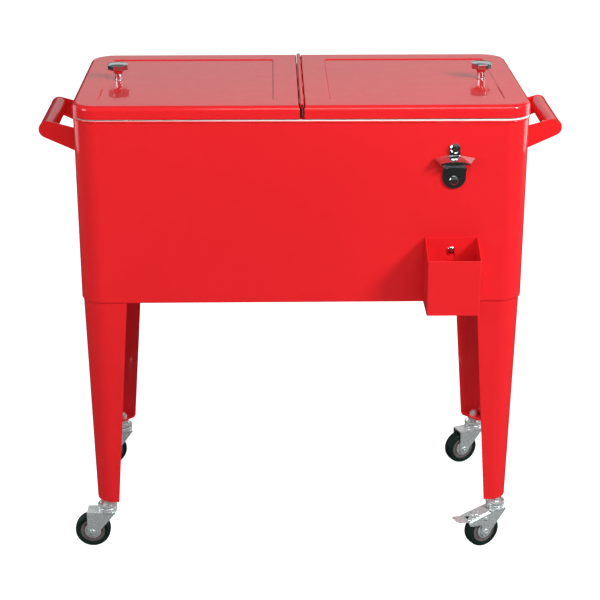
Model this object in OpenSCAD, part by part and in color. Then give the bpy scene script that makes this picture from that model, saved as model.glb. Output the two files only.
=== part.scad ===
// Rolling cooler chest on four caster legs, with two lids that open from the middle.
// Units are millimetres, +Z is up, the front faces -Y and the origin is on the floor under the middle.

/* [Chest] */
// Length of the lids over both ends
lid_len = 740; // [600:1:900]
// Depth of the lids, front to back
lid_depth = 386; // [300:1:460]
// Height of the lid top above the floor
lid_top = 802; // [700:1:900]
// Height of the lid's side wall
lid_skirt = 21; // [15:0.5:35]
// Corner radius of the lids seen from above
lid_corner = 42; // [20:1:60]
// Radius of the rolled top edge of the lids
lid_roll = 8; // [3:0.5:12]
// How far the chest wall sits inside the lid edge
wall_inset = 1.5; // [0.5:0.5:6]
// Height of the chest bottom above the floor
chest_bottom = 468; // [380:1:560]
// Thickness of the painted sheet steel
sheet = 1.2; // [0.8:0.1:2]
// Gap between the steel shell and the inside of the tub
insulation = 21.5; // [15:0.5:40]
// Wall thickness of the plastic tub
tub_wall = 3; // [2:0.5:5]

/* [Lids] */
// Depth of the pressed panel in each lid
panel_depth = 1.5; // [0.5:0.1:3]
// Width of the plain border around the pressed panel
panel_border = 44; // [20:1:80]
// Radius of the hinge barrel
barrel_r = 3.2; // [2.5:0.1:6]
// Radius of the hinge pin
pin_r = 1.6; // [1:0.1:3]
// Number of hinge barrel segments
segments = 13; // [7:3:19]
// Width across the flats of the knob head
knob_width = 34; // [24:1:44]
// Height of each knob above the lid top
knob_height = 28; // [18:1:40]
// Distance from the middle of the chest to each knob
knob_x = 307.5; // [200:0.5:340]

/* [Handles] */
// Distance from the middle of the chest to the handle bars
bar_x = 421; // [400:1:450]
// Height of the handle bars above the floor
bar_z = 737; // [650:1:780]
// Radius of the round handle ends
bar_r = 14.5; // [10:0.5:18]
// Width of a handle over its two arms
handle_width = 170; // [120:1:220]

/* [Legs and casters] */
// Width of a leg at the chest
leg_top_w = 75; // [50:1:100]
// Width of a leg at the caster
leg_foot_w = 40; // [34:1:60]
// Height of the leg foot above the floor
leg_foot_z = 91; // [80:1:110]
// Wheel diameter
wheel_d = 62; // [50:1:76]
// Tyre width
tyre_w = 21; // [16:0.5:22]
// Distance from the swivel line to the axle
caster_trail = 27; // [18:0.5:35]
// How far each caster is turned from the length of the chest, in degrees
turn_fl = 0; // [-90:1:90]
turn_fr = 27; // [-90:1:90]
turn_rl = 20; // [-90:1:90]
turn_rr = 24; // [-90:1:90]

/* [Opener and cap catcher] */
// Distance from the middle of the chest to the opener
opener_x = 245.5; // [100:0.5:300]
// Height of the upper opener screw above the floor
opener_z = 732; // [650:1:760]
// Distance from the middle of the chest to the cap catcher
catcher_x = 244.5; // [100:0.5:300]
// Width of the cap catcher
catcher_w = 86.5; // [60:0.5:120]
// Depth of the cap catcher, front to back
catcher_d = 63; // [40:1:90]
// Height of the cap catcher's front wall
catcher_front = 94; // [60:1:130]
// Height of the cap catcher's back wall
catcher_back = 114; // [80:1:150]

/* [Output] */
// Piece to build, or all of them

/* [Hidden] */
$fn = 48;
cut = 1;
gap = 0.3;
red = [0.87, 0.09, 0.1];
chrome = [0.8, 0.81, 0.83];
zinc = [0.66, 0.69, 0.7];
white = [0.92, 0.92, 0.9];
foam_colour = [0.93, 0.88, 0.68];
black = [0.09, 0.1, 0.1];
grey = [0.38, 0.34, 0.33];

half_len = lid_len / 2;
half_depth = lid_depth / 2;
wall_x = half_len - wall_inset;
wall_y = half_depth - wall_inset;
wall_r = lid_corner - wall_inset;
shell_top = lid_top - lid_skirt - 1.5;
bead_h = 3;
rim_z = shell_top - 3.2;
rim_t = 2;
floor_flange_w = 32;
pan_t = 1.5;
pan_z = chest_bottom + sheet;
foam_z = pan_z + pan_t + gap;
tub_x = wall_x - insulation;
tub_y = wall_y - insulation;
tub_r = 22;
tub_floor = chest_bottom + 32;
drain_seat = 3.3;
drain_seat_r = 18.4;

catcher_gap = 0.4;
catcher_face = wall_y + catcher_gap + catcher_d;
chest_y = (catcher_face - half_depth) / 2;

hinge_z = lid_top - 0.7;
barrel_len = lid_depth - 10;
segment_len = barrel_len / segments;
segment_gap = 0.4;
web_half = 1;
beam_half = 22;
beam_t = 1.5;
beam_z = rim_z + rim_t + 0.1;
lid_near = 4.4;
lid_fold = 3;
lid_low = lid_top - lid_skirt;
pan_flange_z = lid_low + 1;
plug_z = lid_top - 28;
plug_near = 40;
plug_inset = 30;
pan_wall = 2.5;

screw_pan_r = 4.5;
arm_t = 2.5;
arm_root_low = 697;
arm_root_high = 737.5;
tab_w = 24;
tab_t = 2;
handle_screw_z = [707, 728];

leg_t = 1.5;
leg_top_z = chest_bottom - 0.4;
leg_top_x = 366;
leg_top_y = wall_y - 1.5;
leg_foot_x = 359;
leg_foot_y = 180;
leg_r = 35;
plate_in = 0.7;
foot_plate_t = 2.5;
plate_up = 0.4;
foot_chamfer = 12;
caster_in = 17;
bolt_near = 18;
bolt_far = 58;
bolt_corner = 26;
caster_x = leg_foot_x - caster_in;
caster_y = leg_foot_y - caster_in;

crown_z = 66;
crown_t = 2.5;
cheek_out = 14.7;
cheek_t = 2;
race_r = 17;
lower_race_top = 75.9;
upper_race_z = 76.6;
upper_race_top = 82;
stem_r = 4;
axle_z = wheel_d / 2;
axle_r = 3;
axle_end_r = 8.5;
hub_half = 9;
guard_in = 9.3;
guard_out = 12;
guard_r = 14.4;
pedal_pivot = [-27, 57];
pedal_pin_r = 2.5;

// ---- shapes shared by several pieces ----

function arc(cx, cy, r, a0, a1, n) =
    [for (i = [0:n]) [cx + r * cos(a0 + (a1 - a0) * i / n), cy + r * sin(a0 + (a1 - a0) * i / n)]];

function rounded_rect(hx, hy, r, n) = concat(
    arc(hx - r, hy - r, r, 0, 90, n),
    arc(r - hx, hy - r, r, 90, 180, n),
    arc(r - hx, r - hy, r, 180, 270, n),
    arc(hx - r, r - hy, r, 270, 360, n));

function tangent_angle(px, py, cx, cy, r, side) =
    atan2(py - cy, px - cx) + side * acos(r / norm([px - cx, py - cy]));

module at_chest() {
    translate([0, chest_y, 0])
        children();
}

module rounded_block(hx, hy, r, h) {
    linear_extrude(h)
        polygon(rounded_rect(hx, hy, r, 10));
}

module rounded_ring(hx, hy, r, t, h) {
    difference() {
        rounded_block(hx, hy, r, h);
        translate([0, 0, -cut])
            rounded_block(hx - t, hy - t, r - t, h + 2 * cut);
    }
}

module along_y(y0, y1, r) {
    translate([0, y0, 0])
        rotate([-90, 0, 0])
            cylinder(h = y1 - y0, r = r);
}

module pan_screw(r, shank_r, head_h, length) {
    rotate([90, 0, 0])
        cylinder(h = head_h, r1 = r, r2 = r * 0.72);
    rotate([-90, 0, 0])
        translate([0, 0, -0.2])
            cylinder(h = length + 0.2, r = shank_r);
}

// ---- chest ----

module leg_bolt_places(near, far, corner) {
    for (sx = [-1, 1], sy = [-1, 1]) {
        translate([sx * (leg_top_x - far), sy * (leg_top_y - near), 0])
            children();
        translate([sx * (leg_top_x - near), sy * (leg_top_y - far), 0])
            children();
        translate([sx * (leg_top_x - corner), sy * (leg_top_y - corner), 0])
            children();
    }
}

module outer_shell() {
    color(red)
    at_chest()
    difference() {
        union() {
            translate([0, 0, chest_bottom])
                rounded_ring(wall_x, wall_y, wall_r, sheet, shell_top - chest_bottom);
            translate([0, 0, shell_top - bead_h])
                rounded_ring(half_len, half_depth, lid_corner, wall_inset + sheet, bead_h);
            translate([0, 0, chest_bottom])
                rounded_ring(wall_x, wall_y, wall_r, floor_flange_w, sheet);
        }
        translate([0, 0, chest_bottom - cut])
            leg_bolt_places(bolt_near, bolt_far, bolt_corner)
                cylinder(h = sheet + 2 * cut, r = 3.3);
        for (z = [opener_z, opener_z - 54])
            translate([opener_x, cut - wall_y, z])
                rotate([90, 0, 0])
                    cylinder(h = sheet + 2 * cut, r = 2.3, center = true);
        translate([catcher_x, cut - wall_y, catcher_screw_z()])
            rotate([90, 0, 0])
                cylinder(h = sheet + 3 * cut, r = 2.3, center = true);
        for (sx = [-1, 1])
            handle_screw_places(sx)
                rotate([0, 90, 0])
                    cylinder(h = 8, r = 2.3, center = true);
    }
}

module bottom_pan() {
    color(zinc)
    at_chest()
    translate([0, 0, pan_z + 0.05])
    difference() {
        rounded_block(wall_x - sheet - gap, wall_y - sheet - gap, wall_r - sheet - gap, pan_t);
        translate([0, 0, -cut])
            leg_bolt_places(bolt_near, bolt_far, bolt_corner)
                cylinder(h = pan_t + 2 * cut, r = 3.3);
        translate([0, 0, -cut])
            cylinder(h = pan_t + 2 * cut, r = 10.6);
    }
}

module insulation_foam() {
    color(foam_colour)
    at_chest()
    difference() {
        translate([0, 0, foam_z])
            rounded_block(wall_x - sheet - 0.5, wall_y - sheet - 0.5, wall_r - sheet - 0.5,
                rim_z - foam_z - gap);
        translate([0, 0, tub_floor - tub_wall - gap])
            rounded_block(tub_x + tub_wall + gap, tub_y + tub_wall + gap, tub_r + tub_wall + gap,
                rim_z);
        translate([0, 0, foam_z - cut])
            cylinder(h = 60, r = 11.5);
        translate([0, 0, tub_floor - drain_seat - tub_wall - gap])
            cylinder(h = 10, r = drain_seat_r + tub_wall + gap);
        translate([0, 0, foam_z - cut])
            leg_bolt_places(bolt_near, bolt_far, bolt_corner)
                cylinder(h = 12 + cut, r = 9);
        for (z = [opener_z, opener_z - 54])
            translate([opener_x, -wall_y, z])
                rotate([-90, 0, 0])
                    cylinder(h = 14, r = 4);
        translate([catcher_x, -wall_y, catcher_screw_z()])
            rotate([-90, 0, 0])
                cylinder(h = 14, r = 4);
        for (sx = [-1, 1])
            handle_screw_places(sx)
                rotate([0, 90, 0])
                    cylinder(h = 30, r = 4, center = true);
        for (sx = [-1, 1], sy = [-1, 1])
            translate([sx * 13, sy * (tub_y + 10), rim_z - 13])
                cylinder(h = 14, r = 3);
    }
}

module liner_tub() {
    color(white)
    at_chest()
    difference() {
        union() {
            translate([0, 0, tub_floor - tub_wall])
                rounded_block(tub_x + tub_wall, tub_y + tub_wall, tub_r + tub_wall,
                    rim_z + rim_t - tub_floor + tub_wall);
            translate([0, 0, rim_z])
                rounded_block(wall_x - sheet - gap, wall_y - sheet - gap,
                    wall_r - sheet - gap, rim_t);
            translate([0, 0, tub_floor - drain_seat - tub_wall])
                cylinder(h = drain_seat + 1, r = drain_seat_r + tub_wall);
        }
        translate([0, 0, tub_floor])
            rounded_block(tub_x, tub_y, tub_r, rim_z);
        translate([0, 0, tub_floor - drain_seat])
            cylinder(h = drain_seat + cut, r = drain_seat_r);
        translate([0, 0, tub_floor - drain_seat - tub_wall - cut])
            cylinder(h = tub_wall + 2 * cut, r = 10.3);
        for (sx = [-1, 1], sy = [-1, 1])
            translate([sx * 13, sy * (tub_y + 10), rim_z - cut])
                cylinder(h = rim_t + 2 * cut, r = 2);
    }
}

module barrel_segment(i) {
    along_y(-barrel_len / 2 + i * segment_len + segment_gap / 2,
        -barrel_len / 2 + (i + 1) * segment_len - segment_gap / 2, barrel_r);
}

module pin_hole(clear) {
    along_y(-half_depth, half_depth, pin_r + clear);
}

module hinge_crossbar() {
    web_len = barrel_len - segment_gap;
    color(red)
    at_chest()
    difference() {
        union() {
            translate([-beam_half, -tub_y - 16, beam_z])
                cube([2 * beam_half, 2 * tub_y + 32, beam_t]);
            translate([-web_half, -web_len / 2, beam_z])
                cube([2 * web_half, web_len, hinge_z - barrel_r - 0.5 - beam_z]);
            for (i = [0:3:segments - 1]) {
                translate([0, 0, hinge_z])
                    barrel_segment(i);
                translate([-web_half, -barrel_len / 2 + i * segment_len + segment_gap / 2,
                    hinge_z - barrel_r - 1])
                    cube([2 * web_half, segment_len - segment_gap, 2]);
            }
        }
        translate([0, 0, hinge_z])
            pin_hole(0.02);
        for (sx = [-1, 1], sy = [-1, 1])
            translate([sx * 13, sy * (tub_y + 10), beam_z - cut])
                cylinder(h = beam_t + 2 * cut, r = 2.1);
    }
}

module crossbar_screws() {
    color(zinc)
    at_chest()
    for (sx = [-1, 1], sy = [-1, 1])
        translate([sx * 13, sy * (tub_y + 10), beam_z + beam_t + 0.02])
            rotate([-90, 0, 0])
                pan_screw(4, 1.9, 1.3, 13);
}

module hinge_pin() {
    color(black)
    at_chest()
    translate([0, 0, hinge_z])
        along_y(-barrel_len / 2 - 2.5, barrel_len / 2 + 2.5, pin_r);
}

// ---- handles ----

module handle_screw_places(sx) {
    for (sy = [-1, 1], z = handle_screw_z)
        translate([sx * wall_x, sy * (handle_width / 2 - arm_t - tab_w / 2), z])
            children();
}

module handle_arms() {
    low = tangent_angle(wall_x, arm_root_low, bar_x, bar_z, bar_r, 1);
    high = tangent_angle(wall_x, arm_root_high, bar_x, bar_z, bar_r, -1);
    root_x = wall_x + 0.2;
    outline = concat([[root_x, arm_root_high], [root_x, arm_root_low]],
        arc(bar_x, bar_z, bar_r, low, high, 18));
    difference() {
        for (sy = [-1, 1]) {
            translate([0, sy > 0 ? handle_width / 2 : arm_t - handle_width / 2, 0])
                rotate([90, 0, 0])
                    linear_extrude(arm_t)
                        polygon(outline);
            translate([root_x, sy > 0 ? handle_width / 2 - arm_t - tab_w : 1 - handle_width / 2,
                arm_root_low + 1])
                cube([tab_t, tab_w + arm_t - 1, arm_root_high - arm_root_low - 2]);
        }
        handle_screw_places(1)
            rotate([0, 90, 0])
                cylinder(h = 12, r = 2.4, center = true);
    }
}

module handle_bar() {
    bar_len = handle_width - 2 * arm_t - 0.1;
    translate([bar_x, 0, bar_z])
    difference() {
        along_y(-bar_len / 2, bar_len / 2, bar_r - 0.5);
        along_y(-bar_len / 2 - cut, bar_len / 2 + cut, bar_r - 2);
    }
}

module handle_left_arms() {
    color(red)
    at_chest()
    mirror([1, 0, 0])
        handle_arms();
}

module handle_left_bar() {
    color(red)
    at_chest()
    mirror([1, 0, 0])
        handle_bar();
}

module handle_right_arms() {
    color(red)
    at_chest()
    handle_arms();
}

module handle_right_bar() {
    color(red)
    at_chest()
    handle_bar();
}

module handle_screws() {
    color(chrome)
    at_chest()
    for (sx = [-1, 1])
        handle_screw_places(sx)
            translate([sx * (0.25 + tab_t), 0, 0])
                rotate([0, 0, sx * 90])
                    pan_screw(4.5, 2.1, 2.6, 14);
}

// ---- legs ----

function leg_section(w, r) = concat(arc(r, r, r, 270, 180, 10), [[0, w], [leg_t, w]],
    arc(r, r, r - leg_t, 180, 270, 10), [[w, leg_t], [w, 0]]);

function plate_outline(w, chamfer) = concat(
    arc(leg_r, leg_r, leg_r - plate_in, 270, 180, 10),
    [[plate_in, w - 1], [chamfer, w - 1], [w - 1, chamfer], [w - 1, plate_in]]);

module leg_wall() {
    h = leg_top_z - leg_foot_z;
    lean_x = atan((leg_top_x - leg_foot_x) / h);
    lean_y = atan((leg_top_y - leg_foot_y) / h);
    taper_x = atan((leg_top_w - leg_foot_w - leg_top_x + leg_foot_x) / h);
    taper_y = atan((leg_top_w - leg_foot_w - leg_top_y + leg_foot_y) / h);
    wide = leg_top_w + 20;
    difference() {
        translate([0, 0, leg_top_z])
            rotate([lean_y, -lean_x, 0])
                translate([0, 0, -h - 10])
                    linear_extrude(h + 20)
                        polygon(leg_section(wide, leg_r));
        translate([-wide, -wide, leg_top_z])
            cube([3 * wide, 3 * wide, 40]);
        translate([-wide, -wide, leg_foot_z - 40])
            cube([3 * wide, 3 * wide, 40]);
        translate([leg_top_w, -wide, leg_top_z])
            rotate([0, taper_x, 0])
                translate([0, 0, -h - 40])
                    cube([wide, 3 * wide, h + 80]);
        translate([-wide, leg_top_w, leg_top_z])
            rotate([-taper_y, 0, 0])
                translate([0, 0, -h - 40])
                    cube([3 * wide, wide, h + 80]);
    }
}

module leg() {
    foot_x = leg_top_x - leg_foot_x;
    foot_y = leg_top_y - leg_foot_y;
    difference() {
        union() {
            leg_wall();
            translate([foot_x, foot_y, leg_foot_z + plate_up])
                linear_extrude(foot_plate_t)
                    polygon(plate_outline(leg_foot_w, foot_chamfer));
            translate([0, 0, leg_top_z - foot_plate_t - plate_up])
                linear_extrude(foot_plate_t)
                    polygon(plate_outline(leg_top_w, 32));
        }
        translate([foot_x + caster_in, foot_y + caster_in, leg_foot_z - cut])
            cylinder(h = foot_plate_t + 2 * cut, r = stem_r + 0.2);
        for (p = [[bolt_near, bolt_far], [bolt_far, bolt_near], [bolt_corner, bolt_corner]])
            translate([p[0], p[1], leg_top_z - foot_plate_t - cut])
                cylinder(h = foot_plate_t + 2 * cut, r = 3.3);
    }
}

module placed_leg(sx, sy) {
    at_chest()
    mirror([sx < 0 ? 1 : 0, 0, 0])
    mirror([0, sy < 0 ? 1 : 0, 0])
        translate([-leg_top_x, -leg_top_y, 0])
            leg();
}

module leg_front_left() {
    color(red)
    placed_leg(1, 1);
}

module leg_front_right() {
    color(red)
    placed_leg(-1, 1);
}

module leg_rear_left() {
    color(red)
    placed_leg(1, -1);
}

module leg_rear_right() {
    color(red)
    placed_leg(-1, -1);
}

module leg_bolts() {
    head_h = 4;
    color(zinc)
    at_chest()
    leg_bolt_places(bolt_near, bolt_far, bolt_corner) {
        translate([0, 0, leg_top_z - plate_up - foot_plate_t - head_h - 0.02])
            cylinder(h = head_h, r = 5.7, $fn = 6);
        translate([0, 0, leg_top_z - plate_up - foot_plate_t - 0.2])
            cylinder(h = 15, r = 3);
        translate([0, 0, pan_z + pan_t + 0.1])
            cylinder(h = 5, r = 5.7, $fn = 6);
    }
}

// ---- opener and cap catcher ----

function catcher_screw_z() = chest_bottom + 91.5;

module bottle_opener() {
    plate_t = 3;
    plate_w = 19;
    low_z = -48;
    wing = 33;
    hood_z = -24;
    hood_h = 14.8;
    reach = 25;
    color(chrome)
    at_chest()
    translate([opener_x, -wall_y - 0.1, opener_z])
    difference() {
        union() {
            rotate([90, 0, 0])
                linear_extrude(plate_t)
                    polygon(concat(arc(0, 0, 9.5, 0, 180, 12), [[-9.5, hood_z + 6]],
                        arc(0, low_z, plate_w, 180, 360, 20), [[9.5, hood_z + 6]]));
            intersection() {
                translate([0, 0, hood_z])
                    difference() {
                        cylinder(h = hood_h, r1 = wing, r2 = 10);
                        translate([0, 0, -cut])
                            cylinder(h = hood_h - 1, r1 = wing - 3.2, r2 = 9);
                    }
                translate([-wing - 1, -reach, hood_z - cut])
                    cube([2 * wing + 2, reach, hood_h + 2 * cut]);
            }
            translate([-17, -8, hood_z - 9])
                cube([34, 6, 2.5]);
        }
        for (z = [0, -54])
            translate([0, 0, z])
                rotate([90, 0, 0])
                    cylinder(h = 12, r = 2.3, center = true);
    }
}

module opener_screws() {
    color(chrome)
    at_chest()
    for (z = [opener_z, opener_z - 54])
        translate([opener_x, -wall_y - 3.15, z])
            pan_screw(z == opener_z ? 8.5 : 7.5, 2.2, 3.2, 15);
}

module catcher_screw() {
    color(chrome)
    at_chest()
    translate([catcher_x, -wall_y - catcher_gap - sheet - 0.3, catcher_screw_z()])
        pan_screw(6.2, 2.2, 2.8, 14);
}

module cap_catcher() {
    keyhole_r = 7.2;
    keyhole_drop = 9.8;
    color(red)
    at_chest()
    difference() {
        translate([catcher_x - catcher_w / 2, 0, 0])
            rotate([90, 0, 90])
                linear_extrude(catcher_w)
                    polygon([[-catcher_face, chest_bottom - 1],
                        [-wall_y - catcher_gap, chest_bottom - 1],
                        [-wall_y - catcher_gap, chest_bottom - 1 + catcher_back],
                        [-wall_y - catcher_gap - 4, chest_bottom - 1 + catcher_back],
                        [-catcher_face, chest_bottom - 1 + catcher_front]]);
        translate([catcher_x - catcher_w / 2 + sheet, sheet - catcher_face,
            chest_bottom - 1 + sheet])
            cube([catcher_w - 2 * sheet, catcher_d - 2 * sheet, catcher_back]);
        translate([catcher_x, -wall_y, catcher_screw_z()])
            rotate([90, 0, 0])
                cylinder(h = 3, r = 2.3);
        translate([catcher_x - 2.3, -wall_y - 3, catcher_screw_z() - keyhole_drop])
            cube([4.6, 3, keyhole_drop]);
        translate([catcher_x, -wall_y, catcher_screw_z() - keyhole_drop])
            rotate([90, 0, 0])
                cylinder(h = 3, r = keyhole_r);
    }
}

// ---- drain ----

module drain_fitting() {
    color(white)
    at_chest()
    difference() {
        union() {
            translate([0, 0, tub_floor - drain_seat + 0.05])
                cylinder(h = 3, r = 18);
            translate([0, 0, chest_bottom - 16])
                cylinder(h = tub_floor - drain_seat - chest_bottom + 17, r = 10);
        }
        translate([0, 0, chest_bottom - 17])
            cylinder(h = 60, r = 6.5);
    }
}

module drain_nut() {
    color(white)
    at_chest()
    translate([0, 0, pan_z - 6.1])
    difference() {
        cylinder(h = 6, r = 17, $fn = 6);
        translate([0, 0, -cut])
            cylinder(h = 6 + 2 * cut, r = 10.2);
    }
}

module drain_cap() {
    color(white)
    at_chest()
    translate([0, 0, chest_bottom - 19])
    difference() {
        cylinder(h = 12, r = 13.5);
        translate([0, 0, 2.8])
            cylinder(h = 12, r = 10.25);
    }
}

// ---- lids ----

function lid_outline(inset, near, corner) = concat(
    [[near, inset - half_depth]],
    arc(half_len - corner, corner - half_depth, corner - inset, 270, 360, 10),
    arc(half_len - corner, half_depth - corner, corner - inset, 0, 90, 10),
    [[near, half_depth - inset]]);

module lid_slab(inset, near, z, h) {
    translate([0, 0, z])
        linear_extrude(h)
            polygon(lid_outline(inset, near, lid_corner));
}

module lid_block(inset, low) {
    roll = lid_roll - inset;
    fold = lid_fold - inset;
    top = lid_top - inset;
    hull() {
        lid_slab(inset, lid_near + inset, low, top - roll - low);
        for (a = [15:15:90])
            lid_slab(inset + roll * (1 - cos(a)), lid_near + inset + fold * (1 - cos(a)),
                top - roll * (1 - sin(a)) - 0.01, 0.01);
    }
}

module lid_skin() {
    panel_x = (half_len + lid_near) / 2;
    panel_hx = (half_len - lid_near) / 2 - panel_border + lid_near / 2;
    panel_hy = half_depth - panel_border;
    difference() {
        lid_block(0, lid_low);
        difference() {
            lid_block(sheet, lid_low - cut);
            translate([panel_x, 0, lid_top - panel_depth - sheet])
                rounded_block(panel_hx + sheet, panel_hy + sheet, 9, 10);
        }
        translate([panel_x, 0, lid_top - panel_depth])
            rounded_block(panel_hx, panel_hy, 8, 10);
        translate([knob_x, 0, lid_top - 10])
            cylinder(h = 20, r = 2.8);
    }
}

module lid_pan() {
    difference() {
        union() {
            lid_slab(sheet + gap, lid_near + sheet + gap, pan_flange_z, pan_wall);
            translate([(plug_near + half_len - plug_inset) / 2, 0, plug_z])
                rounded_block((half_len - plug_inset - plug_near) / 2, half_depth - plug_inset - 14,
                    18, pan_flange_z + pan_wall - plug_z);
        }
        translate([(plug_near + half_len - plug_inset) / 2, 0, plug_z + pan_wall])
            rounded_block((half_len - plug_inset - plug_near) / 2 - pan_wall,
                half_depth - plug_inset - 14 - pan_wall, 18 - pan_wall, 40);
        translate([knob_x, 0, plug_z - cut])
            cylinder(h = pan_wall + 2 * cut, r = 2.8);
    }
}

module lid_foam() {
    foam_low = pan_flange_z + pan_wall + gap;
    difference() {
        union() {
            lid_slab(7, lid_near + 4, foam_low, lid_top - panel_depth - sheet - gap - foam_low);
            translate([(plug_near + half_len - plug_inset) / 2, 0, plug_z + pan_wall + gap])
                rounded_block((half_len - plug_inset - plug_near) / 2 - pan_wall - gap,
                    half_depth - plug_inset - 14 - pan_wall - gap, 15,
                    foam_low - plug_z - pan_wall);
        }
        translate([knob_x, 0, plug_z])
            cylinder(h = 40, r = 3.2);
    }
}

module lid_hinge(first) {
    leaf_in = lid_near - 1.1;
    leaf_out = lid_near - 0.1;
    leaf_low = lid_low + 4;
    translate([0, 0, hinge_z])
    difference() {
        for (i = [first:3:segments - 1]) {
            barrel_segment(i);
            translate([pin_r + 0.6, -barrel_len / 2 + i * segment_len + segment_gap / 2, -2.4])
                cube([leaf_out - pin_r - 0.6, segment_len - segment_gap, 2.4]);
            translate([leaf_in, -barrel_len / 2 + i * segment_len + segment_gap / 2,
                leaf_low - hinge_z])
                cube([leaf_out - leaf_in, segment_len - segment_gap, hinge_z - leaf_low - 1]);
        }
        pin_hole(0.06);
    }
}

module knob() {
    head_h = 11;
    cone_h = 6.5;
    base_z = lid_top - panel_depth + 0.05;
    top_z = lid_top + knob_height;
    neck_r = 6.5;
    head_r = knob_width / 2 / cos(22.5);
    translate([knob_x, 0, 0])
    difference() {
        union() {
            translate([0, 0, base_z])
                cylinder(h = top_z - head_h - base_z, r = neck_r);
            translate([0, 0, top_z - head_h - cone_h])
                cylinder(h = cone_h + 0.5, r1 = neck_r, r2 = knob_width / 2 - 2);
            translate([0, 0, top_z - head_h])
                rotate([0, 0, 22.5])
                    cylinder(h = head_h, r = head_r, $fn = 8);
        }
        translate([0, 0, base_z - cut])
            cylinder(h = 14, r = 2.6);
    }
}

module knob_screw() {
    translate([knob_x, 0, plug_z - 2.85])
        cylinder(h = 2.8, r = 4.6);
    translate([knob_x, 0, plug_z - 0.5])
        cylinder(h = lid_top + 9 - plug_z, r = 2.5);
}

module lid_left_skin() {
    color(red)
    at_chest()
    mirror([1, 0, 0])
        lid_skin();
}

module lid_left_pan() {
    color(white)
    at_chest()
    mirror([1, 0, 0])
        lid_pan();
}

module lid_left_foam() {
    color(foam_colour)
    at_chest()
    mirror([1, 0, 0])
        lid_foam();
}

module lid_left_hinge() {
    color(red)
    at_chest()
    mirror([1, 0, 0])
        lid_hinge(1);
}

module knob_left() {
    color(chrome)
    at_chest()
    mirror([1, 0, 0])
        knob();
}

module knob_left_screw() {
    color(zinc)
    at_chest()
    mirror([1, 0, 0])
        knob_screw();
}

module lid_right_skin() {
    color(red)
    at_chest()
    lid_skin();
}

module lid_right_pan() {
    color(white)
    at_chest()
    lid_pan();
}

module lid_right_foam() {
    color(foam_colour)
    at_chest()
    lid_foam();
}

module lid_right_hinge() {
    color(red)
    at_chest()
    lid_hinge(2);
}

module knob_right() {
    color(chrome)
    at_chest()
    knob();
}

module knob_right_screw() {
    color(zinc)
    at_chest()
    knob_screw();
}

// ---- casters ----

module at_caster(sx, sy) {
    translate([sx * caster_x, chest_y + sy * caster_y, 0])
        children();
}

module all_casters() {
    for (sx = [-1, 1], sy = [-1, 1])
        at_caster(sx, sy)
            children();
}

module caster_stems() {
    collar_z = upper_race_z + 2.2;
    color(zinc)
    all_casters() {
        translate([0, 0, crown_z - 2.1])
            cylinder(h = 2, r = 6.5);
        translate([0, 0, crown_z - 0.5])
            cylinder(h = 38, r = stem_r);
        translate([0, 0, collar_z])
            cylinder(h = leg_foot_z - collar_z - 0.05, r = 7, $fn = 6);
    }
}

module caster_raceways() {
    color(zinc)
    all_casters()
    rotate_extrude()
        polygon([[stem_r + 0.05, upper_race_z], [race_r - 1, upper_race_z],
            [race_r, upper_race_z + 1], [race_r, upper_race_top - 1.4],
            [race_r - 1.4, upper_race_top], [race_r - 3.4, upper_race_top],
            [race_r - 5.4, upper_race_z + 2.1], [stem_r + 0.05, upper_race_z + 2.1]]);
}

module caster_nuts() {
    color(zinc)
    all_casters()
    translate([0, 0, leg_foot_z + plate_up + foot_plate_t + 0.05])
    difference() {
        cylinder(h = 6.5, r = 7.4, $fn = 6);
        translate([0, 0, -cut])
            cylinder(h = 6.5 + 2 * cut, r = stem_r + 0.1);
    }
}

module cheek_holes(braked) {
    translate([-caster_trail, 0, axle_z])
        along_y(-20, 20, axle_r + 0.05);
    if (braked)
        translate([pedal_pivot[0], 0, pedal_pivot[1]])
            along_y(-20, 20, pedal_pin_r + 0.06);
}

module fork(turn, braked) {
    front = tangent_angle(14, crown_z, -caster_trail, axle_z, axle_end_r, -1);
    back_x = -caster_trail - axle_end_r;
    crown_back = braked ? -16 : back_x;
    outline = concat([[14, crown_z + 0.5]],
        arc(-caster_trail, axle_z, axle_end_r, front, -180, 14),
        braked ? [[back_x, 46], [-56, 48], [-60.5, 50.5], [-62, 55.5], [-12, 68.3]]
            : [[back_x, crown_z + 0.5]]);
    rotate([0, 0, turn])
    difference() {
        union() {
            for (y = [cheek_t - cheek_out, cheek_out])
                translate([0, y, 0])
                    rotate([90, 0, 0])
                        linear_extrude(cheek_t)
                            polygon(outline);
            translate([crown_back, -cheek_out, crown_z])
                cube([14 - crown_back, 2 * cheek_out, crown_t]);
            translate([0, 0, crown_z])
                cylinder(h = crown_t, r = race_r - 0.5);
            translate([0, 0, crown_z + crown_t - 0.5])
                rotate_extrude()
                    polygon([[8, 0], [race_r - 0.5, 0], [race_r - 0.5, 6.9], [race_r - 1.5, 7.9],
                        [8, 7.9]]);
        }
        translate([0, 0, crown_z - cut])
            cylinder(h = 20, r = stem_r + 0.08);
        cheek_holes(braked);
    }
}

module axle(turn) {
    end = cheek_out + 0.2;
    rotate([0, 0, turn])
    translate([-caster_trail, 0, axle_z]) {
        along_y(-end, end, axle_r);
        along_y(-end - 1.8, -end + 0.1, 4.8, $fn = 6);
        along_y(end - 0.1, end + 2.6, 4.8, $fn = 6);
        along_y(-guard_out, -guard_in, guard_r);
        along_y(guard_in, guard_out, guard_r);
    }
}

module tyre(turn) {
    tread = wheel_d / 2;
    inner = 22.3;
    rotate([0, 0, turn])
    translate([-caster_trail, 0, axle_z])
    rotate([90, 0, 0])
    rotate_extrude($fn = 64)
        polygon([[inner, -tyre_w / 2], [tread - 4, -tyre_w / 2], [tread - 1.2, -tyre_w / 2 + 2],
            [tread, -tyre_w / 2 + 6], [tread, tyre_w / 2 - 6], [tread - 1.2, tyre_w / 2 - 2],
            [tread - 4, tyre_w / 2], [inner, tyre_w / 2]]);
}

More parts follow.
